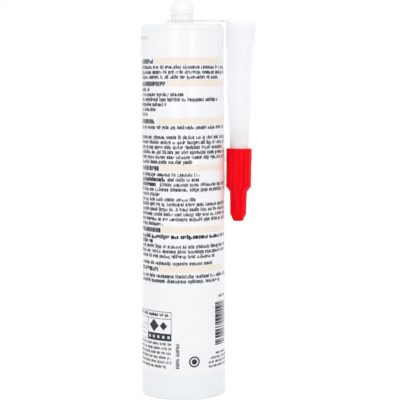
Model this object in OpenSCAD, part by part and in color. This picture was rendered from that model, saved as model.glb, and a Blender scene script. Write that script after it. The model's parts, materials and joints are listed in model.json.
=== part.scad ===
// Sealant cartridge that stands on its open rear end. Its nozzle hangs upside down beside the
// barrel, from a ring that is slipped over the closed nipple, and a cap covers the nozzle's tip.
// The origin is the centre of the rear rim, +Z points to the nipple and the nozzle is at +X.

/* [Barrel] */
// Outer diameter at the rear rim
barrel_d = 50.2; // [46:0.2:56]
// Height of the shoulder's edge above the rear rim
barrel_h = 218; // [190:1:240]
// Wall at the thin front end of the barrel
barrel_wall = 1.3; // [1:0.1:2]
// How much narrower the outside is at the front than at the rear
barrel_draft = 1.4; // [0.4:0.2:1.8]
// Radius that rounds the shoulder's edge
shoulder_r = 2.4; // [1:0.2:3]
// Wall of the shoulder
shoulder_wall = 2; // [1.4:0.1:3]
// Rise of the shoulder from its edge to the seat round the neck
crown_h = 1; // [0.4:0.1:2]
// Diameter of the flat seat round the neck
seat_d = 21; // [20:0.5:26]
// Height of the moulded band under the shoulder's edge
band_h = 3.8; // [3.4:0.1:6]
// Width of the groove under the band
groove_w = 1; // [0.6:0.1:1.4]
// Depth of the groove
groove_depth = 0.2; // [0.1:0.05:0.3]
// Radius that rounds the outside of the rear rim
rim_r = 0.6; // [0.3:0.1:0.9]

/* [Rear mouth] */
// Diameter that the mouth gains over the bore
mouth_gain = 0.6; // [0.2:0.1:0.8]
// Depth of the mouth, where the piston is put in
mouth_depth = 12; // [8:1:14]

/* [Nipple] */
// Diameter of the neck at the root of its thread
neck_d = 13.2; // [12:0.2:13.4]
// Diameter over the thread's ridges
thread_d = 14.2; // [13.6:0.2:15]
// Height of the neck from the seat to the dome
neck_h = 7.4; // [6:0.2:10]
// Diameter of the closed dome
dome_d = 14; // [13.4:0.2:14.2]
// Wall of the neck and dome
neck_wall = 1.5; // [1:0.1:2]

/* [Piston] */
// Height of the piston
piston_h = 18; // [14:1:24]
// Depth of the piston's rear edge inside the rear rim
piston_inset = 15; // [14:1:20]
// Gap between the piston's lips and the bore
piston_play = 0.1; // [0.05:0.01:0.2]
// Wall of the piston's skirt
piston_wall = 1.4; // [1:0.1:2]
// Thickness of the piston's face
piston_face = 1.8; // [1.2:0.1:3]
// Height of each of the two lips
lip_h = 2.4; // [1.6:0.2:3]
// Distance that the skirt stands back from the lips
lip_relief = 0.9; // [0.5:0.1:1.5]
// Number of ribs, which cross the hollow from wall to wall in pairs
rib_count = 8; // [4:2:12]
// Height of the ribs under the face
rib_h = 3.6; // [2:0.2:6]
// Thickness of the ribs
rib_t = 1.2; // [0.8:0.1:2]
// Outer diameter of the ring that joins the ribs
hub_d = 14; // [10:0.5:20]

/* [Nozzle] */
// Length of the nozzle from its flange to its tip
nozzle_len = 114.5; // [112:0.5:130]
// Diameter of the flange
flange_d = 20; // [19:0.5:24]
// Thickness of the flange
flange_t = 1.4; // [1:0.1:2]
// Diameter of the threaded collar under the flange
collar_d = 17.2; // [16.8:0.2:18]
// Diameter that the collar loses down to its end
collar_draft = 0.4; // [0.2:0.1:0.6]
// Length of the collar, flange included
collar_h = 16.2; // [14:0.2:20]
// Depth of the threaded socket
socket_depth = 13; // [10:0.5:13.5]
// Gap between the nipple's thread and the socket
thread_play = 0.15; // [0.1:0.05:0.25]
// Diameter of the cone where it leaves the collar
cone_root_d = 13.6; // [12.6:0.2:14.4]
// Diameter of the cone where it enters the cap
cone_mid_d = 11; // [10.4:0.2:11.6]
// Diameter of the tip
tip_d = 6; // [5:0.2:6.6]
// Wall of the cone
cone_wall = 0.9; // [0.7:0.1:1.2]
// Lean of the hanging nozzle towards the barrel, in degrees
nozzle_lean = 0.85; // [0:0.05:1.2]

/* [Fins] */
// Number of fins on the cone
fin_count = 4; // [3:1:8]
// Turn of the first fin from the strap, in degrees
fin_phase = 12; // [0:1:45]
// Thickness of a fin
fin_t = 1.3; // [0.8:0.1:2]
// Distance from the flange to the knee in a fin's edge
fin_knee = 44; // [30:1:50]
// Diameter over the fins at the knee
fin_knee_d = 15.6; // [14.4:0.2:16.2]
// Distance from the flange to the fins' end
fin_end = 64; // [58:1:68]

/* [Hanger] */
// Outer diameter of the hanger ring
ring_d = 19; // [18.4:0.2:20]
// Gap all round between the ring and the nipple's thread
ring_play = 0.4; // [0.3:0.05:0.6]
// Thickness of the ring and strap
strap_t = 1; // [0.8:0.1:1.3]
// Width of the strap
strap_w = 6.4; // [5:0.2:9]
// Width of the strap where it flares into the ring and the flange
strap_flare_w = 10; // [9:0.2:12]
// Length of each flare
strap_flare = 3; // [2:0.2:4]
// Distance that the flange's lug stands out to meet the strap
lug_reach = 0.6; // [0.4:0.1:1]
// Gap between the resting ring and the seat
rest_gap = 0.25; // [0.15:0.05:0.3]

/* [Cap] */
// Length of the cap
cap_len = 43; // [40:0.5:44]
// Diameter of the band at the cap's mouth
cap_d = 15.2; // [14.4:0.2:16.4]
// Length of that band
cap_band = 8; // [6:0.5:12]
// Step from the band to the skirt
cap_step = 0.15; // [0.1:0.05:0.3]
// Length of the skirt, band included
cap_skirt = 22.8; // [20:0.2:24]
// Length of the slope from the skirt to the narrow part
cap_slope = 3; // [2:0.2:4]
// Diameter of the narrow part below the slope
cap_neck_d = 10.2; // [9.8:0.2:11]
// Diameter that the narrow part loses down to its end
cap_neck_draft = 0.5; // [0.2:0.1:0.8]
// Length of the slanted end
cap_end = 4; // [3:0.2:5]
// Diameter of the flat end
cap_end_d = 5.8; // [5:0.2:7]
// Wall of the skirt
cap_wall = 1.1; // [0.8:0.1:1.4]
// Thickness of the cap's closed end
cap_end_wall = 3; // [2.4:0.1:3.4]
// Gap between the nozzle's taper and the cap's narrow bore
cap_fit = 0.15; // [0.1:0.05:0.25]
// Gap between the nozzle's tip and the cap's closed end
tip_gap = 0.5; // [0.3:0.1:1]
// Gap between the cap and the barrel
hang_gap = 0.5; // [0.4:0.1:2]

/* [Sealant] */
// Gap round the filling
fill_gap = 0.3; // [0.2:0.05:0.5]

/* [Hidden] */
$fn = 96;
// Length by which a cut runs past the face that it opens
past = 1;
// Length by which joined shapes reach into each other
lap = 0.4;
// Steps in a rounded corner
arc_steps = 6;

// Radius of the barrel's outside at a height
function outer_r(z) = (barrel_d - barrel_draft * z / barrel_h) / 2;

// Points along an arc, between two angles
function arc(centre, radius, from, to) =
    [for (i = [0:arc_steps])
        let (angle = from + (to - from) * i / arc_steps)
        centre + radius * [cos(angle), sin(angle)]];

bore_r = outer_r(barrel_h) - barrel_wall;
mouth_r = bore_r + mouth_gain / 2;
seat_z = barrel_h + crown_h;
dome_z = seat_z + neck_h;
ceiling_z = barrel_h - shoulder_wall;
neck_bore_r = neck_d / 2 - neck_wall;
groove_z = barrel_h - band_h - groove_w;

piston_r = bore_r - piston_play;
skirt_r = piston_r - lip_relief;
hollow_r = skirt_r - piston_wall;
piston_top = piston_inset + piston_h;

// The hanging nozzle is measured by its drop, the distance down its own axis from the flange's top
ring_z = seat_z + rest_gap;
nozzle_z = ring_z + strap_t;
collar_end_r = (collar_d - collar_draft) / 2;
socket_r = thread_d / 2 + thread_play;
ring_bore_r = thread_d / 2 + ring_play;
cap_mouth = nozzle_len + tip_gap + cap_end_wall - cap_len;
cap_slope_start = cap_mouth + cap_skirt;
cap_neck_start = cap_slope_start + cap_slope;
cap_bottom = cap_mouth + cap_len;
cap_bore_end = nozzle_len + tip_gap;

// Radius of the cone's outside at a drop
function cone_r(drop) =
    drop < cap_mouth
        ? (cone_root_d + (cone_mid_d - cone_root_d) * (drop - collar_h) / (cap_mouth - collar_h)) / 2
        : (cone_mid_d + (tip_d - cone_mid_d) * (drop - cap_mouth) / (nozzle_len - cap_mouth)) / 2;

// The nozzle's axis stands clear of the barrel at the collar and at the low end of the cap's skirt
skirt_reach = outer_r(nozzle_z - cap_slope_start) + cap_d / 2 + cap_slope_start * tan(nozzle_lean);
collar_reach = outer_r(barrel_h) + collar_d / 2;
nozzle_x = max(skirt_reach, collar_reach) + hang_gap;

// The flat face where the strap meets the flange's lug
lug_x = nozzle_x - flange_d / 2 - lug_reach;

module cartridge_outside() {
    top_r = outer_r(barrel_h);
    rotate_extrude()
        polygon(concat(
            [[0, 0]],
            arc([barrel_d / 2 - rim_r, rim_r], rim_r, -90, 0),
            [[outer_r(groove_z), groove_z],
             [outer_r(groove_z) - groove_depth, groove_z + groove_w / 4],
             [outer_r(groove_z) - groove_depth, groove_z + groove_w * 3 / 4],
             [outer_r(groove_z + groove_w), groove_z + groove_w]],
            arc([top_r - shoulder_r, barrel_h - shoulder_r], shoulder_r, 0, 90),
            [[seat_d / 2, seat_z], [0, seat_z]]
        ));
    translate([0, 0, seat_z - lap]) cylinder(d = neck_d, h = neck_h + lap);
    translate([0, 0, dome_z]) sphere(d = dome_d);
}

module cartridge_inside() {
    translate([0, 0, -past]) cylinder(r = mouth_r, h = mouth_depth + past);
    cylinder(r = bore_r, h = ceiling_z);
    translate([0, 0, ceiling_z - lap]) {
        cylinder(r1 = bore_r, r2 = neck_bore_r, h = crown_h + lap);
        cylinder(r = neck_bore_r, h = dome_z - ceiling_z + lap);
    }
    translate([0, 0, dome_z]) sphere(r = neck_bore_r);
}

module cartridge() {
    color("whitesmoke")
        difference() {
            cartridge_outside();
            cartridge_inside();
        }
}

// A wiping lip: a straight land with a slope back to the skirt
module lip() {
    cylinder(r = piston_r, h = lip_h - lip_relief);
    translate([0, 0, lip_h - lip_relief]) cylinder(r1 = piston_r, r2 = skirt_r, h = lip_relief);
}

module piston_ribs() {
    half = rib_count / 2;
    length = 2 * hollow_r + piston_wall;
    for (i = [0:half - 1])
        rotate(i * 180 / half)
            translate([-length / 2, -rib_t / 2, 0]) cube([length, rib_t, rib_h + lap]);
}

module piston() {
    hollow_h = piston_h - piston_face;
    color("gainsboro")
        translate([0, 0, piston_inset]) {
            difference() {
                union() {
                    cylinder(r = skirt_r, h = piston_h);
                    lip();
                    translate([0, 0, piston_h]) mirror([0, 0, 1]) lip();
                }
                translate([0, 0, -past]) cylinder(r = hollow_r, h = hollow_h + past);
            }
            translate([0, 0, hollow_h - rib_h]) {
                difference() {
                    union() {
                        piston_ribs();
                        cylinder(d = hub_d, h = rib_h + lap);
                    }
                    translate([0, 0, -past]) cylinder(r = hub_d / 2 - rib_t, h = rib_h + past);
                }
            }
        }
}

module sealant() {
    bottom = piston_top + fill_gap;
    color("ivory")
        translate([0, 0, bottom])
            cylinder(r = bore_r - fill_gap, h = ceiling_z - fill_gap - bottom);
}

// Puts a shape drawn down from the flange's top onto the leaning axis of the hanging nozzle
module hang() {
    translate([nozzle_x, 0, nozzle_z]) rotate([0, nozzle_lean, 0]) children();
}

module nozzle_outside() {
    collar_step = collar_end_r - cone_root_d / 2;
    rotate_extrude()
        polygon([
            [0, 0],
            [flange_d / 2, 0],
            [flange_d / 2, -flange_t],
            [collar_d / 2, -flange_t],
            [collar_end_r, -collar_h + collar_step / 2],
            [cone_root_d / 2, -collar_h],
            [cone_mid_d / 2, -cap_mouth],
            [tip_d / 2, -nozzle_len],
            [0, -nozzle_len]
        ]);
}

module nozzle_inside() {
    root_r = cone_root_d / 2 - cone_wall;
    rotate_extrude()
        polygon([
            [0, past],
            [socket_r, past],
            [socket_r, -socket_depth],
            [root_r, -collar_h],
            [cone_mid_d / 2 - cone_wall, -cap_mouth],
            [tip_d / 2 - cone_wall, -nozzle_len],
            [tip_d / 2 - cone_wall, -nozzle_len - past],
            [0, -nozzle_len - past]
        ]);
}

module fins() {
    intersection() {
        for (i = [0:fin_count - 1])
            rotate(fin_phase + i * 360 / fin_count)
                translate([0, -fin_t / 2, -fin_end]) cube([collar_d / 2, fin_t, fin_end - collar_h + past]);
        rotate_extrude()
            polygon([
                [0, -flange_t],
                [collar_end_r, -flange_t],
                [collar_end_r, -collar_h],
                [fin_knee_d / 2, -fin_knee],
                [cone_r(fin_end) - lap / 2, -fin_end],
                [0, -fin_end]
            ]);
    }
}

// A flat lug on the flange's edge, which carries the strap
module lug() {
    translate([lug_x, -strap_flare_w / 2, ring_z])
        cube([nozzle_x - socket_r - lug_x, strap_flare_w, strap_t]);
}

module nozzle() {
    color("ghostwhite")
        difference() {
            union() {
                hang() {
                    nozzle_outside();
                    fins();
                }
                lug();
            }
            hang() nozzle_inside();
        }
}

// The ring and strap are moulded with the nozzle, and meet it at the lug's flat face
module hanger() {
    start = (ring_bore_r + ring_d / 2) / 2;
    flare_start = ring_d / 2 + strap_flare;
    flare_end = lug_x - strap_flare;
    color("ghostwhite")
        translate([0, 0, ring_z])
            difference() {
                union() {
                    linear_extrude(strap_t)
                        polygon([
                            [start, -strap_flare_w / 2],
                            [flare_start, -strap_w / 2],
                            [flare_end, -strap_w / 2],
                            [lug_x, -strap_flare_w / 2],
                            [lug_x, strap_flare_w / 2],
                            [flare_end, strap_w / 2],
                            [flare_start, strap_w / 2],
                            [start, strap_flare_w / 2]
                        ]);
                    cylinder(d = ring_d, h = strap_t);
                }
                translate([0, 0, -past]) cylinder(r = ring_bore_r, h = strap_t + 2 * past);
            }
}

module cap() {
    skirt_bore_r = cap_d / 2 - cap_step - cap_wall;
    end_r = (cap_neck_d - cap_neck_draft) / 2;
    color("red")
        hang()
            difference() {
                rotate_extrude()
                    polygon([
                        [0, -cap_mouth],
                        [cap_d / 2, -cap_mouth],
                        [cap_d / 2, -cap_mouth - cap_band],
                        [cap_d / 2 - cap_step, -cap_mouth - cap_band - cap_step],
                        [cap_d / 2 - cap_step, -cap_slope_start],
                        [cap_neck_d / 2, -cap_neck_start],
                        [end_r, -cap_bottom + cap_end],
                        [cap_end_d / 2, -cap_bottom],
                        [0, -cap_bottom]
                    ]);
                rotate_extrude()
                    polygon([
                        [0, -cap_mouth + past],
                        [skirt_bore_r, -cap_mouth + past],
                        [skirt_bore_r, -cap_slope_start],
                        [cone_r(cap_neck_start) + cap_fit, -cap_neck_start],
                        [tip_d / 2 + cap_fit, -nozzle_len],
                        [tip_d / 2 + cap_fit, -cap_bore_end],
                        [0, -cap_bore_end]
                    ]);
            }
}

cartridge();
piston();
sealant();
nozzle();
hanger();
cap();
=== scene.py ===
# %% [markdown]
# # Dressing a sealant cartridge
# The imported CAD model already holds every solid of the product: the barrel with its closed nipple,
# the piston in its open rear end, the filling, and the nozzle that hangs upside down beside the
# barrel with a cap on its tip. This lesson gives those solids their plastics, adds the threads and
# the print, and sets up the studio. Nothing from the CAD model is moved or reshaped.

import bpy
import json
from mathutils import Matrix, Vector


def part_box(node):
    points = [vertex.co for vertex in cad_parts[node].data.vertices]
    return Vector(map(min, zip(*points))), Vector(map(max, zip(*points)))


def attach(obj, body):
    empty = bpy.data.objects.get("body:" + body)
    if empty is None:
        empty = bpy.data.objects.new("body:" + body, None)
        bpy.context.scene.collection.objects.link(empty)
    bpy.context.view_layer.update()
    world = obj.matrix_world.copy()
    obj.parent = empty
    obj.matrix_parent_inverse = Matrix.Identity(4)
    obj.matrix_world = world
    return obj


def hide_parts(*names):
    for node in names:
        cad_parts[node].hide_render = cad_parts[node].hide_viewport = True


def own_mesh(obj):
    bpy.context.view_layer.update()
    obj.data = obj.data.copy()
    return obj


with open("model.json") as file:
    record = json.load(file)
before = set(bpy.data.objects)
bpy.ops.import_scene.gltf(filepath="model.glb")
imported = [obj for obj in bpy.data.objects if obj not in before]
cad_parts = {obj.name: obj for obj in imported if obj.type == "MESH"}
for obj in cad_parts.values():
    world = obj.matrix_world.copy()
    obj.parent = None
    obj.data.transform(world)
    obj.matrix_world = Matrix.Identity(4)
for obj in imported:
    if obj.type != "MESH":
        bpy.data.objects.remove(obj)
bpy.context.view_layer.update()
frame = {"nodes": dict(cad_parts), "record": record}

# %% [markdown]
# ## Tools and units
# A moulded product is drawn in millimetres and Blender works in metres, so each of its sizes below
# is a number times MM. The studio is in metres. The Standard view shows a colour about as written.

# %% Tools and units
import json
import math
import random

import bmesh
import bpy
from mathutils import Matrix, Vector

MM = 0.001
scene = bpy.context.scene
scene.view_settings.view_transform = "Standard"
print("Blender", bpy.app.version_string, "with the view", scene.view_settings.view_transform)

# %% [markdown]
# ## Measuring the barrel
# The print has to lie on the barrel, and the barrel is slightly narrower at the front than at the
# rear, as a moulded tube is. Instead of repeating the CAD sizes here, we read them from the mesh:
# one radius at the rear rim and one high up, with a straight line between them.

# %% Measure the barrel
REAR_ZONE = 2 * MM
UPPER_SHARE = 0.8  # the second radius is read above this share of the height


def outside_points(node, low, high):
    """Distance from the Z axis and height of a node's points between two heights."""
    points = [vert.co for vert in frame["nodes"][node].data.vertices if low <= vert.co.z <= high]
    return [(math.hypot(point.x, point.y), point.z) for point in points]


barrel_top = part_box("cartridge")[1].z
rear_radius = max(outside_points("cartridge", 0, REAR_ZONE))[0]
front_radius, front_height = max(outside_points("cartridge", UPPER_SHARE * barrel_top, barrel_top))


def barrel_radius(height):
    """Radius of the barrel's outside at a height."""
    return rear_radius + (front_radius - rear_radius) * height / front_height


print("barrel radius", round(rear_radius, 5), "at the rear and", round(front_radius, 5), "higher up")

# %% [markdown]
# ## The camera
# The photograph looks down slightly on a tall, narrow product through a long lens. The curve of the
# rear rim gives the height of the eye, and the ratio of width to height gives the distance. A long
# lens far away keeps the sides almost parallel. The camera is pitched and not shifted, so that it
# also frames the object from other sides.

# %% Camera
EYE_DISTANCE = 792.9 * MM  # from the barrel's axis, along Y
EYE_HEIGHT = 188.3 * MM
EYE_SIDE = 10 * MM  # towards the nozzle
PITCH = math.radians(5.31)
ROLL = math.radians(-0.17)
LENS, SENSOR_WIDTH = 121.1, 36
NEAREST, FARTHEST = 0.01, 20  # what the camera draws, in metres

camera = bpy.data.objects.new("camera", bpy.data.cameras.new("camera"))
scene.collection.objects.link(camera)
camera.data.sensor_width = SENSOR_WIDTH
camera.data.lens = LENS
camera.data.clip_start = NEAREST
camera.data.clip_end = FARTHEST
look = Matrix.Rotation(math.radians(90) - PITCH, 4, "X") @ Matrix.Rotation(ROLL, 4, "Z")
camera.matrix_world = Matrix.Translation((EYE_SIDE, -EYE_DISTANCE, EYE_HEIGHT)) @ look
scene.camera = camera
print("camera at", [round(v, 3) for v in camera.location])

# %% [markdown]
# ## Helpers for materials
# Each finish is a Principled shader fed by a few textures. One small helper starts it, and another
# sets the numbers that are the same all over the surface directly on the shader's sockets, which is
# the form that also survives an export. The others add the nodes that come back in every finish.

# %% Material helpers
def new_material(name):
    """A material, its nodes and its Principled shader."""
    material = bpy.data.materials.new(name)
    material.use_nodes = True
    nodes = material.node_tree.nodes
    return material, nodes, nodes["Principled BSDF"]


def set_sockets(node, **values):
    """Sets input sockets by name; an underscore stands for a space."""
    for name, value in values.items():
        node.inputs[name.replace("_", " ")].default_value = value


def join(output, target):
    """Links an output socket to an input socket."""
    output.id_data.links.new(output, target)


def add_node(nodes, kind, **settings):
    """Adds a node and sets its properties."""
    node = nodes.new(kind)
    for name, value in settings.items():
        setattr(node, name, value)
    return node


COLOUR_INPUTS, COLOUR_RESULT = (6, 7), 2  # by number, because a Mix node's sockets share their names


def colour_mix(nodes, factor, first, second):
    """Mixes two colours, each a socket or an RGBA value, by a factor socket."""
    node = add_node(nodes, "ShaderNodeMix", data_type="RGBA")
    join(factor, node.inputs[0])
    for index, value in zip(COLOUR_INPUTS, (first, second)):
        if isinstance(value, bpy.types.NodeSocket):
            join(value, node.inputs[index])
        else:
            node.inputs[index].default_value = value
    return node.outputs[COLOUR_RESULT]


def shader_mix(nodes, factor, first, second):
    """Mixes two shaders by a factor socket."""
    node = nodes.new("ShaderNodeMixShader")
    for index, socket in enumerate((factor, first, second)):
        join(socket, node.inputs[index])
    return node.outputs["Shader"]


def add_noise(nodes, vector, scale, detail):
    """A noise read at a vector socket."""
    noise = nodes.new("ShaderNodeTexNoise")
    set_sockets(noise, Scale=scale, Detail=detail)
    join(vector, noise.inputs["Vector"])
    return noise.outputs["Fac"]


def add_range(nodes, value, kind="LINEAR", **limits):
    """Maps a value socket between limits such as From_Min; the others stay at 0 and 1."""
    node = add_node(nodes, "ShaderNodeMapRange", interpolation_type=kind)
    set_sockets(node, **limits)
    join(value, node.inputs["Value"])
    return node.outputs["Result"]


def add_height(nodes, place):
    """The Z of a place."""
    split = nodes.new("ShaderNodeSeparateXYZ")
    join(place, split.inputs["Vector"])
    return split.outputs["Z"]


def start_group(name, inputs, outputs):
    """A node group with a Vector input, float inputs with their defaults, and float outputs."""
    group = bpy.data.node_groups.new(name, "ShaderNodeTree")
    face = group.interface
    face.new_socket("Vector", in_out="INPUT", socket_type="NodeSocketVector")
    for socket, default in inputs.items():
        face.new_socket(socket, in_out="INPUT", socket_type="NodeSocketFloat").default_value = default
    for socket in outputs:
        face.new_socket(socket, in_out="OUTPUT", socket_type="NodeSocketFloat")
    nodes = group.nodes
    return group, nodes, nodes.new("NodeGroupInput"), nodes.new("NodeGroupOutput")


print("material helpers are ready")

# %% [markdown]
# ## Moulded skin, shared by every plastic
# Polyethylene comes out of the mould with a faint orange-peel and with flow lines along the way
# that the melt ran. One node group makes both from noise, and each plastic places it with its own
# values. It puts out a height for bump and a mask that varies the gloss.

# %% Node group: moulded skin
PEEL, FLOW, FLOW_SHARE = 900, 90, 0.5  # the usual scales of the two noises, and how much is flow
FLOW_STRETCH = (1, 1, 0.06)  # less than 1 along Z draws the noise out that way


def make_moulded_skin():
    """Fine peel and long flow lines, from Object coordinates."""
    group, nodes, source, result = start_group(
        "moulded skin", {"Peel Scale": PEEL, "Flow Scale": FLOW, "Flow Share": FLOW_SHARE},
        ("Height", "Gloss Mask"))
    peel = nodes.new("ShaderNodeTexNoise")
    set_sockets(peel, Detail=2, Roughness=0.5)
    stretch = add_node(nodes, "ShaderNodeVectorMath", operation="MULTIPLY")
    stretch.inputs[1].default_value = FLOW_STRETCH
    flow = nodes.new("ShaderNodeTexNoise")
    set_sockets(flow, Detail=3, Roughness=0.55)
    blend = add_node(nodes, "ShaderNodeMix", data_type="FLOAT")
    join(source.outputs["Vector"], peel.inputs["Vector"])
    join(source.outputs["Peel Scale"], peel.inputs["Scale"])
    join(source.outputs["Vector"], stretch.inputs[0])
    join(stretch.outputs["Vector"], flow.inputs["Vector"])
    join(source.outputs["Flow Scale"], flow.inputs["Scale"])
    join(source.outputs["Flow Share"], blend.inputs["Factor"])
    join(peel.outputs["Fac"], blend.inputs["A"])
    join(flow.outputs["Fac"], blend.inputs["B"])
    join(blend.outputs["Result"], result.inputs["Height"])
    join(flow.outputs["Fac"], result.inputs["Gloss Mask"])
    return group


moulded_skin = make_moulded_skin()
print("made the group", moulded_skin.name)

# %% [markdown]
# ## Handling marks, shared by the barrel and the cap
# Packs that travel in a carton get fine rub marks. Real ones are long, thin and few, so the group
# stretches a noise strongly one way and keeps only its peaks. The effect stays faint, because the
# product in the photograph is new.

# %% Node group: rub marks
RUB_SCALE, RUB_THRESHOLD = 160, 0.68  # the noise's peaks above the threshold are marks
RUB_TURN, RUB_STRETCH = (0.3, 0.5, 0.2), (1, 1, 0.05)
RUB_GAIN = 6  # makes full marks of low peaks


def make_rub_marks():
    """A mask of thin, stretched rub marks, from Object coordinates."""
    group, nodes, source, result = start_group(
        "rub marks", {"Scale": RUB_SCALE, "Threshold": RUB_THRESHOLD}, ("Mask",))
    turn = nodes.new("ShaderNodeMapping")
    set_sockets(turn, Rotation=RUB_TURN, Scale=RUB_STRETCH)
    noise = nodes.new("ShaderNodeTexNoise")
    set_sockets(noise, Detail=4, Roughness=0.7)
    over = add_node(nodes, "ShaderNodeMath", operation="SUBTRACT", use_clamp=True)
    gain = add_node(nodes, "ShaderNodeMath", operation="MULTIPLY", use_clamp=True)
    gain.inputs[1].default_value = RUB_GAIN
    join(source.outputs["Vector"], turn.inputs["Vector"])
    join(turn.outputs["Vector"], noise.inputs["Vector"])
    join(source.outputs["Scale"], noise.inputs["Scale"])
    join(noise.outputs["Fac"], over.inputs[0])
    join(source.outputs["Threshold"], over.inputs[1])
    join(over.outputs["Value"], gain.inputs[0])
    join(gain.outputs["Value"], result.inputs["Mask"])
    return group


def add_marks(nodes, place, scale=RUB_SCALE):
    """The mask of the rub marks at a place."""
    marks = add_node(nodes, "ShaderNodeGroup", node_tree=rub_marks)
    set_sockets(marks, Scale=scale)
    join(place, marks.inputs["Vector"])
    return marks.outputs["Mask"]


rub_marks = make_rub_marks()
print("made the group", rub_marks.name)

# %% [markdown]
# ## A plastic with a skin
# All the plastics share one recipe: Object coordinates feed the moulded skin, its height goes
# through a Bump node into the shader's Normal, and its mask moves the roughness a little around the
# plastic's own value. Object coordinates need no unwrapping, and they stay put on a moving piece.

# %% Plastic recipe
BUMP_DISTANCE = 0.05 * MM
NOISE_LOW, NOISE_HIGH = 0.3, 0.7  # most of a noise lies between these


def make_plastic(name, colour, roughness, peel=PEEL, flow=FLOW, flow_share=FLOW_SHARE,
                 bump=0.15, gloss_range=0.06):
    """A moulded plastic; gives its material, nodes, shader and Object coordinates."""
    material, nodes, shader = new_material(name)
    place = nodes.new("ShaderNodeTexCoord").outputs["Object"]
    skin = add_node(nodes, "ShaderNodeGroup", node_tree=moulded_skin)
    set_sockets(skin, Peel_Scale=peel, Flow_Scale=flow, Flow_Share=flow_share)
    bumper = nodes.new("ShaderNodeBump")
    set_sockets(bumper, Strength=bump, Distance=BUMP_DISTANCE)
    gloss = add_range(nodes, skin.outputs["Gloss Mask"], From_Min=NOISE_LOW, From_Max=NOISE_HIGH,
                      To_Min=roughness - gloss_range, To_Max=roughness + gloss_range)
    join(place, skin.inputs["Vector"])
    join(skin.outputs["Height"], bumper.inputs["Height"])
    join(bumper.outputs["Normal"], shader.inputs["Normal"])
    join(gloss, shader.inputs["Roughness"])
    set_sockets(shader, Base_Color=colour)
    return material, nodes, shader, place


print("the plastic recipe is ready")

# %% [markdown]
# ## White barrel
# The barrel is opaque white polyethylene with a soft sheen. Below the piston there is no filling
# behind the thin wall, so that end looks a little cooler and darker. A Map Range on the height
# blends the two whites, and a slow noise keeps the white from looking like one flat colour. The
# nipple is thin and lit from every side; its colour is painted a little whiter than the rest, a
# painted highlight for that light.

# %% Barrel material
WHITE = (0.9, 0.907, 0.922, 1)
EMPTY_WHITE = (0.84, 0.873, 0.898, 1)
CLOUDY_WHITE = (0.88, 0.89, 0.91, 1)
RUBBED_WHITE = (0.8, 0.81, 0.83, 1)
# painted highlight: a whiter colour for the thin nipple, for the light it gets from every side
NIPPLE_PAINTED_LIGHT = (0.93, 0.934, 0.942, 1)
BARREL_ROUGHNESS = 0.2
PLASTIC_IOR = 1.5
PISTON_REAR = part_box("piston")[0].z
SHOULDER_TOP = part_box("hanger")[0].z  # the hanger's ring lies on it


def make_barrel_plastic():
    material, nodes, shader, place = make_plastic("barrel plastic", WHITE, BARREL_ROUGHNESS, flow=60)
    clouds = add_noise(nodes, place, scale=18, detail=2)
    height = add_height(nodes, place)
    empty = add_range(nodes, height, "SMOOTHSTEP",
                      From_Min=PISTON_REAR + 2 * MM, From_Max=PISTON_REAR - 3 * MM)
    top = add_range(nodes, height, "SMOOTHSTEP",
                    From_Min=SHOULDER_TOP - 1 * MM, From_Max=SHOULDER_TOP + 1 * MM)
    white = colour_mix(nodes, clouds, WHITE, CLOUDY_WHITE)
    white = colour_mix(nodes, empty, white, EMPTY_WHITE)
    # painted highlight: above the shoulder the white is mixed towards the nipple's whiter colour
    white = colour_mix(nodes, top, white, NIPPLE_PAINTED_LIGHT)
    white = colour_mix(nodes, add_marks(nodes, place), white, RUBBED_WHITE)
    join(white, shader.inputs["Base Color"])
    set_sockets(shader, IOR=PLASTIC_IOR)
    return material


barrel_plastic = make_barrel_plastic()
print("made", barrel_plastic.name)

# %% [markdown]
# ## Piston and filling
# The piston is plain natural polyethylene, duller than the barrel. The filling is a smooth paste;
# it only shows if somebody takes the model apart, but it still gets a soft, slightly warm finish.

# %% Piston and filling materials
PISTON_WHITE = (0.8, 0.815, 0.83, 1)
PASTE_WHITE = (0.83, 0.8, 0.72, 1)
PASTE_DARKER = (0.77, 0.73, 0.64, 1)


def make_paste():
    material, nodes, shader, place = make_plastic(
        "sealant paste", PASTE_WHITE, roughness=0.6, peel=250, bump=0.4)
    lumps = add_noise(nodes, place, scale=120, detail=3)
    join(colour_mix(nodes, lumps, PASTE_WHITE, PASTE_DARKER), shader.inputs["Base Color"])
    return material


piston_plastic = make_plastic("piston plastic", PISTON_WHITE, roughness=0.5, peel=600, bump=0.25)[0]
paste = make_paste()
print("made", piston_plastic.name, "and", paste.name)

# %% [markdown]
# ## Milky nozzle
# The nozzle is unfilled polyethylene: light goes into it and comes out again a little further on.
# Subsurface scattering does that near the surface. The wall is also so thin that much of the light
# passes right through to the other side, so that even the shaded side stays bright: a translucent
# share does that. Light crosses the wall many times, so its colour has to stay close to white. Just
# above the cap the light inside the tube is red, so the wall there lets less of it through. There
# the colour is also painted a faint lilac, a painted reflection of the cap's red light in the
# milky wall; it stays there when the cap is taken off.

# %% Nozzle material
MILKY = (0.973, 0.976, 0.982, 1)
MILKY_DENSE = (0.967, 0.970, 0.976, 1)
# painted reflection: a lilac tint for the red cap's light, mixed into the colour just above the cap
PAINTED_CAP_LIGHT = (0.985, 0.97, 1.0, 1)
THROUGH_SHARE, THROUGH_NEAR_CAP = 0.77, 0.15  # of the light that passes the wall
CAP_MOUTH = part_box("cap")[1].z
CAP_LIGHT_REACH = 9 * MM
SCATTER_DISTANCE = 0.5 * MM


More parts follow.
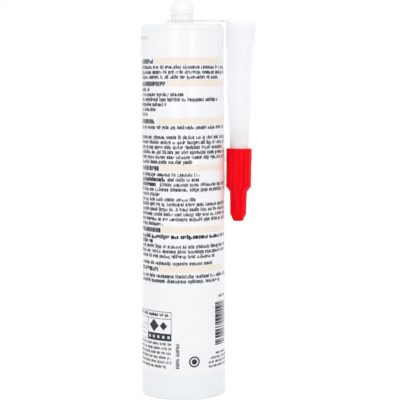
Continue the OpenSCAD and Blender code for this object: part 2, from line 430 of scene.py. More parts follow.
def make_nozzle_plastic():
    material, nodes, shader, place = make_plastic(
        "nozzle plastic", MILKY, roughness=0.4, peel=1200, flow=140, bump=0.1)
    clouds = add_noise(nodes, place, scale=70, detail=2)
    near_cap = add_range(nodes, add_height(nodes, place), "SMOOTHSTEP",
                         From_Min=CAP_MOUTH + CAP_LIGHT_REACH, From_Max=CAP_MOUTH)
    milky = colour_mix(nodes, clouds, MILKY, MILKY_DENSE)
    # painted reflection: the colour turns lilac towards the cap's mouth
    milky = colour_mix(nodes, near_cap, milky, PAINTED_CAP_LIGHT)
    join(milky, shader.inputs["Base Color"])
    set_sockets(shader, IOR=PLASTIC_IOR, Subsurface_Weight=1.0, Subsurface_Radius=(1, 1, 1),
                Subsurface_Scale=SCATTER_DISTANCE)
    through = nodes.new("ShaderNodeBsdfTranslucent")
    join(milky, through.inputs["Color"])
    share = add_range(nodes, near_cap, To_Min=THROUGH_SHARE, To_Max=THROUGH_NEAR_CAP)
    both = shader_mix(nodes, share, shader.outputs["BSDF"], through.outputs["BSDF"])
    join(both, nodes["Material Output"].inputs["Surface"])
    return material


nozzle_plastic = make_nozzle_plastic()
print("made", nozzle_plastic.name)

# %% [markdown]
# ## Red cap
# The cap is the one strong colour: a saturated, glossy red. White reflections would turn it pink,
# so the specular level is low. Long light and dark stripes run down it: a noise that is stretched
# along the cap swings between two reds. These stripes are painted highlights and painted shade,
# for the reflections of tall lamps in the glossy red.

# %% Cap material
RED = (1.0, 0.004, 0.018, 1)
DEEP_RED = (0.87, 0.0004, 0.003, 1)
SHEEN_STREAK_SCALE, SHEEN_STREAK_STRETCH = 400, (1, 1, 0.02)
SHEEN_STREAK_LOW, SHEEN_STREAK_HIGH = 0.3, 0.6  # the noise values where one red ends and the other starts
CAP_ROUGHNESS, CAP_SPECULAR = 0.16, 0.035


def make_cap_plastic():
    material, nodes, shader, place = make_plastic(
        "cap plastic", RED, CAP_ROUGHNESS, peel=1000, flow=260, flow_share=0.8, gloss_range=0.03)
    long_way = nodes.new("ShaderNodeMapping")
    set_sockets(long_way, Scale=SHEEN_STREAK_STRETCH)
    join(place, long_way.inputs["Vector"])
    # painted highlights and shade: the stretched noise stands in for reflections of tall lamps
    sheen_streaks = add_noise(nodes, long_way.outputs["Vector"], SHEEN_STREAK_SCALE, detail=0)
    strength = add_range(nodes, sheen_streaks, From_Min=SHEEN_STREAK_LOW, From_Max=SHEEN_STREAK_HIGH)
    red = colour_mix(nodes, strength, RED, DEEP_RED)
    red = colour_mix(nodes, add_marks(nodes, place, scale=320), red, DEEP_RED)
    join(red, shader.inputs["Base Color"])
    set_sockets(shader, Specular_IOR_Level=CAP_SPECULAR)
    return material


cap_plastic = make_cap_plastic()
print("made", cap_plastic.name)

# %% [markdown]
# ## Printing inks
# The print is laid on by a screen or a dry offset plate, so it is a thin layer with slightly uneven
# cover. Noise between two close tones gives that to every ink. The ink is also painted paler where
# it faces away from the camera, through a Layer Weight node. Don't copy that: it isn't real gloss,
# it moves with the camera, and an export loses it. It belongs in the shader's gloss and the lights.

# %% Ink materials
INKS = {
    # name: the colours of full and of thin cover, and the specular level
    "black ink": ((0.018, 0.024, 0.03, 1), (0.056, 0.069, 0.08, 1), 0.12),
    "soft black ink": ((0.036, 0.045, 0.054, 1), (0.076, 0.09, 0.105, 1), 0.2),
    "grey ink": ((0.62, 0.63, 0.66, 1), (0.7, 0.71, 0.74, 1), 0.3),
    "peach ink": ((0.878, 0.79, 0.685, 1), (0.875, 0.806, 0.716, 1), 0.5),
    "white ink": ((0.62, 0.64, 0.67, 1), (0.7, 0.72, 0.75, 1), 0.5),
}
PALE_FROM, PALE_MOST = 0.43, 0.95  # where the paling starts as a place faces away, and how far it goes
INK_ROUGHNESS = 0.3


def make_ink(name, full, thin, specular):
    material, nodes, shader, place = make_plastic(
        name, full, INK_ROUGHNESS, peel=2500, flow=400, flow_share=0.1, bump=0.05, gloss_range=0.02)
    cover = add_noise(nodes, place, scale=700, detail=3)
    colour = colour_mix(nodes, cover, full, thin)
    facing = nodes.new("ShaderNodeLayerWeight").outputs["Facing"]
    pale = add_range(nodes, facing, From_Min=PALE_FROM, To_Max=PALE_MOST)
    join(colour_mix(nodes, pale, colour, WHITE), shader.inputs["Base Color"])
    set_sockets(shader, Specular_IOR_Level=specular)
    return material


inks = {name: make_ink(name, *values) for name, values in INKS.items()}
print("made", *inks)

# %% [markdown]
# ## Dress the CAD solids
# The CAD meshes stay as they are; only their material slots are filled. The nozzle and its hanger
# are one moulding, so they share a plastic. The filling gets a new shape further down.

# %% Assign materials to the CAD nodes
CAD_FINISH = {
    "cartridge": barrel_plastic,
    "piston": piston_plastic,
    "nozzle": nozzle_plastic,
    "hanger": nozzle_plastic,
    "cap": cap_plastic,
}
for node_name, material in CAD_FINISH.items():
    mesh = frame["nodes"][node_name].data
    mesh.materials.clear()
    mesh.materials.append(material)
    print(node_name, "has", material.name, "on", len(mesh.polygons), "faces")

# %% [markdown]
# ## Making a piece
# Every new piece ends the same way: its bmesh becomes a mesh on an object that stays at the origin,
# gets its material, and rides on a body of the frame, so that it moves when that body moves. Faces
# that meet at a small angle are shaded as one curve, and the other edges stay crisp.

# %% Piece helper
CRISP_ANGLE = math.radians(30)


def finish_piece(name, bm, material, body):
    """Makes an object from a bmesh, at the origin, riding on a body."""
    for face in bm.faces:
        face.smooth = True
    for edge in bm.edges:
        edge.smooth = edge.is_manifold and edge.calc_face_angle(0) < CRISP_ANGLE
    mesh = bpy.data.meshes.new(name)
    bm.to_mesh(mesh)
    bm.free()
    mesh.materials.append(material)
    piece = bpy.data.objects.new(name, mesh)
    scene.collection.objects.link(piece)
    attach(piece, body)
    print(name, "has", len(mesh.polygons), "faces")
    return piece


# %% [markdown]
# ## The filling
# The CAD model has a plain cylinder for the paste. Here it is a turned shape that also fills the
# neck: one half outline is drawn with a few points and spun round the axis. It rides on the
# cartridge, and the CAD cylinder is hidden.

# %% Sealant filling
SPIN_STEPS = 96
FILL_GAP = 0.3 * MM
NECK_FILL_RADIUS = 4.8 * MM
NECK_FILL_TOP = 224 * MM
FILL_CORNER = 1.2 * MM
MERGE_DISTANCE = 0.001 * MM


def spin_outline(outline):
    """Turns a half outline of (radius, height) points round the Z axis into a closed shape."""
    bm = bmesh.new()
    verts = [bm.verts.new((radius, 0, height)) for radius, height in outline]
    edges = [bm.edges.new(pair) for pair in zip(verts, verts[1:])]
    bmesh.ops.spin(bm, geom=verts + edges, cent=(0, 0, 0), axis=(0, 0, 1), angle=math.tau,
                   steps=SPIN_STEPS, use_merge=True, use_duplicate=False)
    bmesh.ops.remove_doubles(bm, verts=bm.verts, dist=MERGE_DISTANCE)
    bmesh.ops.recalc_face_normals(bm, faces=bm.faces)
    return bm


def make_filling():
    low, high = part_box("sealant")
    outline = [
        (0, low.z),
        (high.x - FILL_CORNER, low.z),
        (high.x, low.z + FILL_CORNER),
        (high.x, high.z),
        (NECK_FILL_RADIUS, high.z + FILL_GAP),
        (NECK_FILL_RADIUS, NECK_FILL_TOP),
        (0, NECK_FILL_TOP),
    ]
    piece = finish_piece("sealant_fill", spin_outline(outline), paste, "cartridge")
    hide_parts("sealant")
    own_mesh(piece)


make_filling()

# %% [markdown]
# ## Threads
# A thread is a ridge that climbs as it goes round. bmesh's spin takes a step up with each turn step,
# so one small trapezoid outline becomes the whole helix. The ridge fades into the wall at both
# ends, as a moulded thread does, by drawing its crest back to the root there.

# %% Thread helper
THREAD_PITCH = 2.9 * MM
THREAD_STEPS_PER_TURN = 48
FADE_TURNS = 0.18
FOOT_SHARE, TIP_SHARE = 0.3, 0.1  # half widths of the ridge, as shares of the pitch
RIDGE_SUNK = 0.25 * MM  # how far it reaches into the wall


def fade_ridge(bm, root_radius, outwards, turns):
    """Draws the crest back to the root near both ends of the helix."""
    for vert in bm.verts:
        radius = math.hypot(vert.co.x, vert.co.y)
        done = vert.co.z / THREAD_PITCH
        share = max(0, min(1, done / FADE_TURNS, (turns - done) / FADE_TURNS))
        if (radius - root_radius) * outwards > 0:
            kept = root_radius + (radius - root_radius) * share
            vert.co.x *= kept / radius
            vert.co.y *= kept / radius


def make_ridge(root_radius, crest_radius, start_height, turns):
    """A helical ridge on a wall round the Z axis; the crest may lie outside or inside the root."""
    outwards = 1 if crest_radius > root_radius else -1
    foot, tip = FOOT_SHARE * THREAD_PITCH, TIP_SHARE * THREAD_PITCH
    base = root_radius - outwards * RIDGE_SUNK
    outline = [(base, -foot), (root_radius, -foot), (crest_radius, -tip),
               (crest_radius, tip), (root_radius, foot), (base, foot)]
    bm = bmesh.new()
    verts = [bm.verts.new((radius, 0, height)) for radius, height in outline]
    edges = [bm.edges.new(pair) for pair in zip(verts, verts[1:] + verts[:1])]
    steps = round(turns * THREAD_STEPS_PER_TURN)
    climb = THREAD_PITCH / THREAD_STEPS_PER_TURN
    bmesh.ops.spin(bm, geom=verts + edges, cent=(0, 0, 0), axis=(0, 0, 1), dvec=(0, 0, climb),
                   angle=math.tau * turns, steps=steps, use_merge=False, use_duplicate=False)
    bmesh.ops.holes_fill(bm, edges=bm.edges, sides=len(outline))
    bmesh.ops.recalc_face_normals(bm, faces=bm.faces)
    fade_ridge(bm, root_radius, outwards, turns)
    bmesh.ops.translate(bm, verts=bm.verts, vec=(0, 0, start_height))
    return bm


print("thread pitch", THREAD_PITCH)

# %% [markdown]
# ## Thread on the nipple
# The neck of the CAD model has the thread's root radius, so the ridge is simply laid on it.

# %% Nipple thread
NECK_RADIUS = 6.6 * MM
THREAD_CREST = 7.1 * MM
NIPPLE_THREAD_START = 221.6 * MM
NIPPLE_TURNS = 1.75

nipple_thread = finish_piece(
    "nipple_thread",
    make_ridge(NECK_RADIUS, THREAD_CREST, NIPPLE_THREAD_START, NIPPLE_TURNS),
    barrel_plastic, "cartridge")

# %% [markdown]
# ## Thread in the nozzle's socket
# The same helper makes the inner thread, with the crest inside the root. The nozzle hangs at a
# slight lean, so the ridge is made upright and then carried to the socket: the record of the CAD
# model says where the socket's mouth is and which way its axis points.

# %% Socket thread
SOCKET_THREAD_DROP = 9.5 * MM  # from the mount's point down to the thread's start
SOCKET_CREST_STEP = 0.45 * MM
SOCKET_TURNS = 2.5


def make_socket_thread():
    socket = next(mount for mount in frame["record"]["mounts"] if mount["name"] == "nozzle_socket")
    root = socket["dims"]["r_mm"] * MM
    bm = make_ridge(root, root - SOCKET_CREST_STEP, -SOCKET_THREAD_DROP / 2, SOCKET_TURNS)
    lean = Vector((0, 0, 1)).rotation_difference(Vector(socket["axis"])).to_matrix().to_4x4()
    bmesh.ops.transform(bm, matrix=Matrix.Translation(socket["pos_m"]) @ lean, verts=bm.verts)
    piece = finish_piece("socket_thread", bm, nozzle_plastic, "nozzle")


make_socket_thread()

# %% [markdown]
# ## One moulding, not two
# On the real product the nozzle, its strap and the hanger ring are one moulding. The CAD model
# splits the strap at the nozzle's lug, and a dark seam shows there. A thin sleeve of the same
# plastic laid over the split hides it. It is a cube with a cut round its middle; the cut stays
# a hair above the strap, and both ends dip just under its surface, so that no edge shows.

# %% Strap joint
STRAP_END_WIDTH = 10 * MM
STRAP_WIDTH_AT_REACH = 8.56 * MM  # the strap narrows towards the ring
JOINT_REACH = 1.2 * MM  # to each side of the split
JOINT_PROUD = 0.04 * MM
JOINT_SUNK = 0.03 * MM


def make_strap_joint():
    low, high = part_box("hanger")
    split, middle, thick = high.x, (low.z + high.z) / 2, high.z - low.z
    size = (2 * JOINT_REACH, STRAP_END_WIDTH + 2 * JOINT_PROUD, thick + 2 * JOINT_PROUD, 1)
    bm = bmesh.new()
    bmesh.ops.create_cube(bm, size=1, matrix=Matrix.Translation((split, 0, middle)) @ Matrix.Diagonal(size))
    everything = bm.verts[:] + bm.edges[:] + bm.faces[:]
    bmesh.ops.bisect_plane(bm, geom=everything, plane_co=(split, 0, 0), plane_no=(1, 0, 0))
    for vert in bm.verts:
        side = vert.co.x - split
        if abs(side) > JOINT_REACH / 2:
            width = STRAP_END_WIDTH if side > 0 else STRAP_WIDTH_AT_REACH
            vert.co.y = math.copysign(width / 2 - JOINT_SUNK, vert.co.y)
            vert.co.z = middle + math.copysign(thick / 2 - JOINT_SUNK, vert.co.z - middle)
    piece = finish_piece("strap_joint", bm, nozzle_plastic, "nozzle")


make_strap_joint()

# %% [markdown]
# ## Rolling print onto the barrel
# It is easiest to draw print flat and then roll it up. Each mark is a thin slab drawn in X and Z,
# with X as the distance round the barrel from the side that faces the camera. Rolling turns X into
# an angle and adds the slab's own thickness to the barrel's radius at that height. The slab reaches
# a little under the surface, so that no light gets behind it.

# %% Print helpers
INK_PROUD = 0.02 * MM
INK_SUNK = 0.1 * MM
ROLL_STEP = 1.2 * MM  # longest straight piece in a slab that is rolled up


def add_slab(bm, left, right, low, high, lift=0.0):
    """Adds a flat slab of ink between two places round the barrel and two heights."""
    thick = INK_PROUD + INK_SUNK + lift
    centre = Vector(((left + right) / 2, (INK_SUNK - INK_PROUD - lift) / 2, (low + high) / 2))
    size = Matrix.Diagonal((right - left, thick, high - low, 1))
    made = bmesh.ops.create_cube(bm, size=1, matrix=Matrix.Translation(centre) @ size)["verts"]
    cuts = int((right - left) / ROLL_STEP)
    if cuts:
        edges = {edge for vert in made for edge in vert.link_edges}
        along = [edge for edge in edges if abs(edge.verts[0].co.x - edge.verts[1].co.x) > (right - left) / 2]
        bmesh.ops.subdivide_edges(bm, edges=along, cuts=cuts, use_grid_fill=True)


def roll_up(bm):
    """Rolls flat print onto the barrel."""
    for vert in bm.verts:
        angle = vert.co.x / rear_radius
        radius = barrel_radius(vert.co.z) - vert.co.y
        vert.co = Vector((radius * math.sin(angle), -radius * math.cos(angle), vert.co.z))


def add_sheet(page, sheet):
    """Adds one small bmesh to a larger one, and frees it. Small ones are much faster to build."""
    mesh = bpy.data.meshes.new("sheet")
    sheet.to_mesh(mesh)
    sheet.free()
    page.from_mesh(mesh)
    bpy.data.meshes.remove(mesh)


def finish_print(name, page, ink):
    """Rolls a page up and makes a piece of it in one of the inks."""
    roll_up(page)
    finish_piece(name, page, inks[ink], "cartridge")


print("ink stands", INK_PROUD, "proud of the barrel")

# %% [markdown]
# ## Lines of small print
# The product carries paragraphs of instructions. No lettering is copied: a line is a row of plain
# upright strokes of several heights, a few wider ones and dots, with uneven gaps, grouped into
# words. At the distance of the photograph such strokes blur into the grey texture of small print.
# Each line draws from its own seed, so that changing one line leaves the others alone.

# %% Small print helper
STROKE = 0.46 * MM
STROKE_GAP = 0.19 * MM
GAP_RANGE = (0.45, 1.5)  # share of the gap that is really left after a stroke
WORD_SPACE = 0.9 * MM
STROKE_HEIGHT = 1.75 * MM
REACH = 0.5 * MM  # how far a longer stroke goes above or below the others
SHORT_WORD, LONG_WORD = 3, 15  # strokes
WIDE = 2.1
FORMS = ("plain", "up", "down", "wide", "dot", "upper", "lower")
FORM_SHARES = (8, 4, 2, 4, 1, 2, 3)


def print_line(page, seed, left, right, height, size=1.0, weight=1.0, level=False,
               words=(SHORT_WORD, LONG_WORD)):
    """Adds a row of strokes; size scales it, weight thickens it, and level keeps one height."""
    rng = random.Random(seed)
    sheet = bmesh.new()
    at = left
    half = STROKE_HEIGHT * size / 2
    while at < right:
        for _ in range(rng.randint(*words)):
            form = rng.choices(FORMS, FORM_SHARES)[0]
            wide = STROKE * size * weight * (WIDE if form == "wide" else 1)
            low, high = height - half, height + half
            if form == "up" and not level:
                high += REACH * size
            elif form == "down" and not level:
                low -= REACH * size
            elif form == "dot" and not level:
                high = low + wide
            elif form == "upper":
                low = height - half / 3
            elif form == "lower":
                high = height + half / 3
            if at + wide > right:
                break
            add_slab(sheet, at, at + wide, low, high)
            at += wide + STROKE_GAP * size * rng.uniform(*GAP_RANGE)
        at += WORD_SPACE * size
    add_sheet(page, sheet)


print("strokes are", STROKE, "wide and", STROKE_HEIGHT, "high")

# %% [markdown]
# ## The paragraphs
# The layout is written the way a designer would give it: for each section the height of its
# heading, how far the heading runs, the height of its first line, and where each line ends. Lines
# follow each other at one pitch, and None leaves one out. Full lines run to the right margin.

# %% Paragraphs
LEFT_MARGIN = -31.2 * MM
RIGHT_MARGIN = 34.2 * MM
LINE_PITCH = 2.85 * MM
FULL = RIGHT_MARGIN / MM
SECTIONS = [
    # heading height, heading's end, first line's height, ends of the lines
    (196.1, -18.4, 192.7, [FULL, FULL, 25]),
    (183.3, -10.2, 179.9, [-21.8, 1.1, 24.4, -9.2, -15.7, -23.3]),
    (161.7, -16.6, 158.3, [FULL, None, FULL, FULL, 30.5, FULL, FULL, 5.9]),
    (134.8, -14.6, 131.1, [10.3, 10.3, FULL, FULL, -13.9, 7.7, FULL, FULL, FULL, FULL, -12.2]),
    (99.1, -13.6, 95.3, [FULL, -18.5, FULL, FULL, 21.5]),
    (76.3, -15.3, 72.3, [FULL, 25.5]),
]
BOLD_LINES = {(4, 0), (4, 1)}  # section and line
BOLD_STARTS = {(3, 1): -9, (3, 2): -14}  # lines that begin bold, up to this place
LOOSE_LINE_END, LOOSE_LINE_HEIGHT = 18.9, 79.8
BOLD, BOLD_SIZE = 2.0, 1.12
HEADING_SIZE, HEADING_WEIGHT = 1.5, 1.05
ONE_WORD = (99, 99)
HEADING_SEED, LINE_SEED, LOOSE_SEED = 100, 1000, 2000
SECTION_SEEDS, START_SEEDS = 50, 25  # seeds between two sections, and from a line to its bold start


def print_paragraphs():
    """Plain lines in the softer black, headings and bold lines in the full one."""
    plain, bold = bmesh.new(), bmesh.new()
    for section, (heading, heading_end, first, ends) in enumerate(SECTIONS):
        print_line(bold, HEADING_SEED + section, LEFT_MARGIN, heading_end * MM, heading * MM,
                   HEADING_SIZE, HEADING_WEIGHT, level=True, words=ONE_WORD)
        for line, end in enumerate(ends):
            if end is None:
                continue
            height = first * MM - line * LINE_PITCH
            seed = LINE_SEED + SECTION_SEEDS * section + line
            start = LEFT_MARGIN
            if (section, line) in BOLD_STARTS:
                start = BOLD_STARTS[section, line] * MM
                print_line(bold, seed + START_SEEDS, LEFT_MARGIN, start - WORD_SPACE, height,
                           BOLD_SIZE, BOLD)
            if (section, line) in BOLD_LINES:
                print_line(bold, seed, start, end * MM, height, BOLD_SIZE, BOLD)
            else:
                print_line(plain, seed, start, end * MM, height)
    print_line(plain, LOOSE_SEED, LEFT_MARGIN, LOOSE_LINE_END * MM, LOOSE_LINE_HEIGHT * MM)
    finish_print("small_print", plain, "soft black ink")
    finish_print("bold_print", bold, "black ink")


print_paragraphs()

# %% [markdown]
# ## Peach heading bands
# Beside each heading a pale band runs on to the right margin. It is a plain field of colour.

# %% Heading bands
BAND_HEIGHT = 3.8 * MM
BAND_LIFT = 0.3 * MM  # of the band's middle above the heading's
BAND_SPACE = 0.5 * MM


def print_bands():
    page = bmesh.new()
    for heading, heading_end, _, _ in SECTIONS:
        left = heading_end * MM + BAND_SPACE
        middle = heading * MM + BAND_LIFT
        add_slab(page, left, RIGHT_MARGIN, middle - BAND_HEIGHT / 2, middle + BAND_HEIGHT / 2)
    finish_print("heading_bands", page, "peach ink")


print_bands()

# %% [markdown]
# ## The framed panel
# At the lower left a framed panel has a header strip, a narrow cell, a large field and a dark scale
# strip. Its letters are replaced: the field holds two plain lozenges and the dark strip holds pale
# dots, which stand for nothing. Six short lines follow under it.

# %% Framed panel
PANEL_LEFT, PANEL_RIGHT = -41 * MM, -6.9 * MM
PANEL_LOW, PANEL_HIGH = 34.5 * MM, 51.6 * MM
CELL_RIGHT = -24.2 * MM
HEADER_LOW = 47.5 * MM
STRIP_HIGH = 38.8 * MM
RULE = 0.32 * MM
STRIP_DOTS = 5
DOT_SIZE = 1.55 * MM
LOZENGES = [(-18.9 * MM, 7.4 * MM), (-12 * MM, 5.0 * MM)]  # place round the barrel and size
HEADER_MARGIN, HEADER_TEXT, HEADER_SEED = 1 * MM, 0.9, 3000
CELL_MARGIN, CELL_TEXT, CELL_SEED = 1.5 * MM, 0.8, 3010
CELL_LINES = 3
FIELD_MIDDLE = (STRIP_HIGH + HEADER_LOW) / 2


def add_rule(bm, left, right, low, high):
    """Adds four thin rules round a rectangle."""
    add_slab(bm, left, right, high - RULE, high)
    add_slab(bm, left, right, low, low + RULE)
    add_slab(bm, left, left + RULE, low + RULE, high - RULE)
    add_slab(bm, right - RULE, right, low + RULE, high - RULE)


def slice_sheet(sheet, width):
    """Cuts a sheet round the origin into upright slices, so that it bends when it is rolled up."""
    slices = math.ceil(width / ROLL_STEP)
    for cut in range(1, slices):
        place = (width * (cut / slices - 0.5), 0, 0)
        everything = sheet.verts[:] + sheet.edges[:] + sheet.faces[:]
        bmesh.ops.bisect_plane(sheet, geom=everything, plane_co=place, plane_no=(1, 0, 0))


def add_lozenge(bm, across, height, size):
    """Adds a square slab that stands on its corner."""
    sheet = bmesh.new()
    side = size / math.sqrt(2)
    thick = INK_PROUD + INK_SUNK
    turn = Matrix.Rotation(math.radians(45), 4, "Y")
    middle = Matrix.Translation((0, (INK_SUNK - INK_PROUD) / 2, 0))
    bmesh.ops.create_cube(sheet, size=1, matrix=middle @ turn @ Matrix.Diagonal((side, thick, side, 1)))
    slice_sheet(sheet, size)
    bmesh.ops.translate(sheet, verts=sheet.verts, vec=(across, 0, height))
    add_sheet(bm, sheet)


def print_panel():
    page = bmesh.new()
    add_rule(page, PANEL_LEFT, PANEL_RIGHT, PANEL_LOW, PANEL_HIGH)
    add_slab(page, PANEL_LEFT + RULE, PANEL_RIGHT - RULE, HEADER_LOW - RULE, HEADER_LOW)
    add_slab(page, CELL_RIGHT - RULE, CELL_RIGHT, PANEL_LOW + RULE, HEADER_LOW - RULE)
    add_slab(page, CELL_RIGHT, PANEL_RIGHT - RULE, PANEL_LOW + RULE, STRIP_HIGH)
    for across, size in LOZENGES:
        add_lozenge(page, across, FIELD_MIDDLE, size)
    print_line(page, HEADER_SEED, PANEL_LEFT + HEADER_MARGIN, PANEL_RIGHT - HEADER_MARGIN,
               (HEADER_LOW + PANEL_HIGH) / 2, HEADER_TEXT)
    finish_print("panel_print", page, "black ink")


def print_cell_lines():
    page = bmesh.new()
    for line in range(CELL_LINES):
        print_line(page, CELL_SEED + line, PANEL_LEFT + CELL_MARGIN, CELL_RIGHT - CELL_MARGIN,
                   FIELD_MIDDLE - line * LINE_PITCH, CELL_TEXT)
    finish_print("cell_print", page, "grey ink")


def print_strip_dots():
    page = bmesh.new()
    room = (PANEL_RIGHT - CELL_RIGHT) / STRIP_DOTS
    middle, half = (PANEL_LOW + STRIP_HIGH) / 2, DOT_SIZE / 2
    for dot in range(STRIP_DOTS):
        at = CELL_RIGHT + (dot + 0.5) * room
        add_slab(page, at - half, at + half, middle - half, middle + half, lift=INK_PROUD / 2)
    finish_print("panel_dots", page, "white ink")


print_panel()
print_cell_lines()
print_strip_dots()

# %% [markdown]
# ## Small marks round the foot
# Under the panel, at the right and up the middle there are more lines of small print, and over the
# bar code a row of strokes stands for its figures. The upright row is printed level, turned by 90
# degrees and then rolled up with the others.

# %% Foot lines
FOOT_WEIGHT = 0.5
FOOT_BLOCKS = [
    # first seed, first height, pitch, size, left and right ends of the lines
    (4000, 32.6, 2.68, 0.8, [(-34, -6.9)] * 5 + [(-34, -10)]),
    (4100, 26.2, 2.45, 0.7, [(21.5, 33.5), (17.6, 35), (15.8, 35), (16, 35)]),
]
UPRIGHT_AT, UPRIGHT_LOW, UPRIGHT_HIGH = -3.3 * MM, 18.5 * MM, 33.8 * MM
UPRIGHT_SIZE, UPRIGHT_WEIGHT, UPRIGHT_SEED = 1.15, 0.7, 4200
CODE_LEFT, CODE_RIGHT = 21.2 * MM, 33 * MM
CODE_LOW, CODE_HIGH = 30.8 * MM, 56.3 * MM
FIGURES_LEFT, FIGURES_HEIGHT = CODE_LEFT + 3 * MM, CODE_HIGH + 3.2 * MM
FIGURES_SIZE, FIGURES_SEED = 0.75, 5001


def print_foot_lines():
    page = bmesh.new()
    for seed, first, pitch, size, lines in FOOT_BLOCKS:
        for line, (left, right) in enumerate(lines):
            height = first * MM - line * (pitch * MM)
            print_line(page, seed + line, left * MM, right * MM, height, size, FOOT_WEIGHT)
    upright = bmesh.new()
    half = (UPRIGHT_HIGH - UPRIGHT_LOW) / 2
    print_line(upright, UPRIGHT_SEED, -half, half, 0, UPRIGHT_SIZE, UPRIGHT_WEIGHT, level=True)
    turn = Matrix.Rotation(math.radians(-90), 3, "Y")
    bmesh.ops.rotate(upright, verts=upright.verts, cent=(0, 0, 0), matrix=turn)
    bmesh.ops.translate(upright, verts=upright.verts, vec=(UPRIGHT_AT, 0, UPRIGHT_LOW + half))
    add_sheet(page, upright)
    print_line(page, FIGURES_SEED, FIGURES_LEFT, CODE_RIGHT, FIGURES_HEIGHT, FIGURES_SIZE, FOOT_WEIGHT)
    finish_print("foot_print", page, "soft black ink")


print_foot_lines()

# %% [markdown]
# ## Bar code
# The bars run round the barrel. Their widths and the gaps between them are whole numbers of a
# module, as in a real code, but they are drawn from a seed, so that they stand for nothing.

# %% Bar code
MODULE = 0.27 * MM
BARS, GAPS = (2, 3, 3, 5, 7), (1, 1, 1, 1, 3)  # modules
BAR_SEED = 5000


def print_bar_code():
    rng = random.Random(BAR_SEED)
    page = bmesh.new()
    at = CODE_LOW
    while at < CODE_HIGH:
        bar = MODULE * rng.choice(BARS)
        add_slab(page, CODE_LEFT, CODE_RIGHT, at, min(at + bar, CODE_HIGH))
        at += bar + MODULE * rng.choice(GAPS)
    finish_print("bar_code", page, "black ink")


print_bar_code()

# %% [markdown]
# ## Ring mark
# The round mark becomes a plain ring round a dot. The ring is made of four circles, an outer and an
# inner one at each depth, with bridge_loops between them; the dot needs only two closed circles.

# %% Ring mark
RING_AT, RING_HEIGHT = 6.6 * MM, 22.5 * MM
RING_OUTER, RING_INNER, RING_DOT = 3.25 * MM, 2.4 * MM, 1.6 * MM
RING_SEGMENTS = 40


def add_ring(bm, outer, inner):
    """Adds a flat ring slab round the origin, or a disc where inner is zero."""
    flat = Matrix.Rotation(math.radians(90), 4, "X")
    rims = []
    for depth in (-INK_PROUD, INK_SUNK):
        place = Matrix.Translation((0, depth, 0)) @ flat
        for radius in (outer, inner) if inner else (outer,):
            made = bmesh.ops.create_circle(bm, segments=RING_SEGMENTS, radius=radius,
                                           cap_ends=not inner, matrix=place)
            rims.append({edge for vert in made["verts"] for edge in vert.link_edges})
    pairs = [(0, 1), (1, 3), (3, 2), (2, 0)] if inner else [(0, 1)]
    for first, second in pairs:
        bmesh.ops.bridge_loops(bm, edges=list(rims[first] | rims[second]))


def print_ring_mark():
    page = bmesh.new()
    for outer, inner in ((RING_OUTER, RING_INNER), (RING_DOT, 0)):
        sheet = bmesh.new()
        add_ring(sheet, outer, inner)
        bmesh.ops.recalc_face_normals(sheet, faces=sheet.faces)
        slice_sheet(sheet, 2 * outer)
        bmesh.ops.translate(sheet, verts=sheet.verts, vec=(RING_AT, 0, RING_HEIGHT))
        add_sheet(page, sheet)
    finish_print("ring_mark", page, "black ink")


print_ring_mark()

# %% [markdown]
# ## Faint mark
# High on the barrel, at the left, a short code is stamped so weakly that it hardly shows. A row of
# level strokes in the grey ink stands for it.

# %% Faint mark
FAINT_LEFT, FAINT_RIGHT, FAINT_HEIGHT = -41 * MM, -23.5 * MM, 209.8 * MM
FAINT_SIZE, FAINT_WEIGHT, FAINT_SEED = 1.1, 1.3, 6000

page = bmesh.new()
print_line(page, FAINT_SEED, FAINT_LEFT, FAINT_RIGHT, FAINT_HEIGHT, FAINT_SIZE, FAINT_WEIGHT, level=True)
finish_print("faint_mark", page, "grey ink")

# %% [markdown]
# ## The studio floor
# The photograph is a high-key product shot: white all round, almost no shadow. The floor is a plain
# pale plane that keeps the contact shadow. The camera sees a little glow on top of the lit floor, so
# that the floor runs into the white behind it without lighting the product more.

# %% Floor
FLOOR_SIZE = 6.0
FLOOR_WHITE = (0.93, 0.93, 0.935, 1)
FLOOR_LIFT = 0.24  # emission that the camera sees on top of the lit floor


def add_seen_ray(nodes):
    """1 for rays from the camera, a glossy surface or a transmitting one."""
    path = nodes.new("ShaderNodeLightPath")
    seen = path.outputs["Is Camera Ray"]
    for name in ("Is Glossy Ray", "Is Transmission Ray"):
        either = add_node(nodes, "ShaderNodeMath", operation="MAXIMUM")
        join(seen, either.inputs[0])
        join(path.outputs[name], either.inputs[1])
        seen = either.outputs["Value"]
    return seen


def make_matte(name, colour):
    """A dull material of one colour, for the studio."""
    material, nodes, shader = new_material(name)
    set_sockets(shader, Base_Color=colour, Roughness=1.0, Specular_IOR_Level=0.0)
    return material, nodes, shader


def make_floor_material():
    material, nodes, shader = make_matte("pale floor", FLOOR_WHITE)
    glow = nodes.new("ShaderNodeEmission")
    set_sockets(glow, Strength=FLOOR_LIFT)
    both = nodes.new("ShaderNodeAddShader")
    join(shader.outputs["BSDF"], both.inputs[0])
    join(glow.outputs["Emission"], both.inputs[1])
    seen = shader_mix(nodes, add_seen_ray(nodes), shader.outputs["BSDF"], both.outputs["Shader"])
    join(seen, nodes["Material Output"].inputs["Surface"])
    return material


def make_plane(name, place, material):
    """A plane one metre wide, put in its place and size by a matrix."""
    bm = bmesh.new()
    bmesh.ops.create_grid(bm, x_segments=1, y_segments=1, size=0.5)
    bmesh.ops.transform(bm, matrix=place, verts=bm.verts)
    mesh = bpy.data.meshes.new(name)
    bm.to_mesh(mesh)
    bm.free()
    mesh.materials.append(material)
    plane = bpy.data.objects.new(name, mesh)
    scene.collection.objects.link(plane)
    return plane


floor = make_plane("floor", Matrix.Diagonal((FLOOR_SIZE, FLOOR_SIZE, 1, 1)), make_floor_material())
print("floor", FLOOR_SIZE, "m wide")

# %% [markdown]
# ## The white world
# The world is the light tent of the studio. It lights the product evenly from all round, and shows
# plain white to the camera and to reflections.

# %% World
WORLD_LIGHT = 0.91
PURE_WHITE = (1, 1, 1, 1)


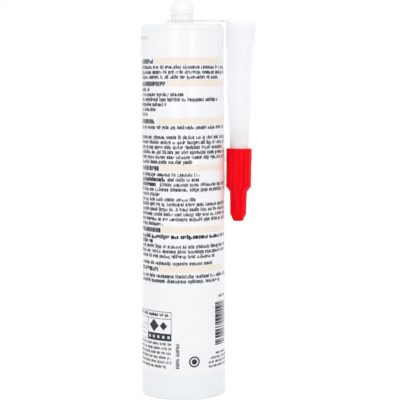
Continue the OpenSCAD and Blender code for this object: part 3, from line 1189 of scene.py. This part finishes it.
def make_world():
    world = bpy.data.worlds.new("white studio")
    world.use_nodes = True
    nodes = world.node_tree.nodes
    light, backdrop = nodes["Background"], nodes.new("ShaderNodeBackground")
    set_sockets(light, Color=PURE_WHITE, Strength=WORLD_LIGHT)
    set_sockets(backdrop, Color=PURE_WHITE)
    seen = shader_mix(nodes, add_seen_ray(nodes), light.outputs[0], backdrop.outputs[0])
    join(seen, nodes["World Output"].inputs["Surface"])
    return world


scene.world = make_world()
print("world light", WORLD_LIGHT)

# %% [markdown]
# ## Enough bounces for white on white
# Light that gets into the narrow gap between the barrel and the nozzle passes from one white plastic
# to the other many times before it comes out. The usual four diffuse bounces end too early and leave
# the gap grey, so this scene allows more.

# %% Light bounces
DIFFUSE_BOUNCES = 16
ALL_BOUNCES = 24
scene.cycles.diffuse_bounces = DIFFUSE_BOUNCES
scene.cycles.max_bounces = ALL_BOUNCES
print("diffuse bounces", scene.cycles.diffuse_bounces)

# %% [markdown]
# ## Lamps
# A tall, narrow soft box stands to the right of the camera; its reflection is the bright streak down
# the cap. A larger, softer one fills in from the left, and one behind the product shines through the
# milky nozzle and the gap.

# %% Lamps
MIDDLE = (0.0, 0.0, 0.11)  # of the product; every lamp points at it
SOFT_BOXES = [
    # name, place, width and height in metres, power in watts
    ("right strip box", (0.57, -1.07, 0.3), (0.16, 1.1), 1.4),
    ("left soft box", (-0.45, -1.15, 0.3), (0.5, 1.0), 1.4),
    ("back soft box", (0.05, 1.2, 0.45), (0.5, 0.9), 1.6),
]

for name, place, size, power in SOFT_BOXES:
    lamp = bpy.data.lights.new(name, "AREA")
    lamp.shape = "RECTANGLE"
    lamp.size, lamp.size_y = size
    lamp.energy = power
    box = bpy.data.objects.new(name, lamp)
    aim = (Vector(MIDDLE) - Vector(place)).to_track_quat("-Z", "Y").to_matrix().to_4x4()
    box.matrix_world = Matrix.Translation(place) @ aim
    box.visible_camera = False
    scene.collection.objects.link(box)
    print(name, "at", place)

# %% [markdown]
# ## A dark card
# A narrow dark card out at the right, which the camera doesn't see, puts a soft dark streak on the
# barrel that shows its roundness. Photographers call such a card a flag.

# %% Dark card
CARD_PLACE = Vector((0.42, -0.045, 0.25))
CARD_WIDTH, CARD_HEIGHT = 0.02, 0.5
CARD_GREY = (0.02, 0.02, 0.022, 1)

upright = Matrix.Rotation(math.radians(90), 4, "Y") @ Matrix.Diagonal((CARD_HEIGHT, CARD_WIDTH, 1, 1))
card_material = make_matte("dark card", CARD_GREY)[0]
card = make_plane("dark_card", Matrix.Translation(CARD_PLACE) @ upright, card_material)
card.visible_camera = False
print("dark card at", list(CARD_PLACE))
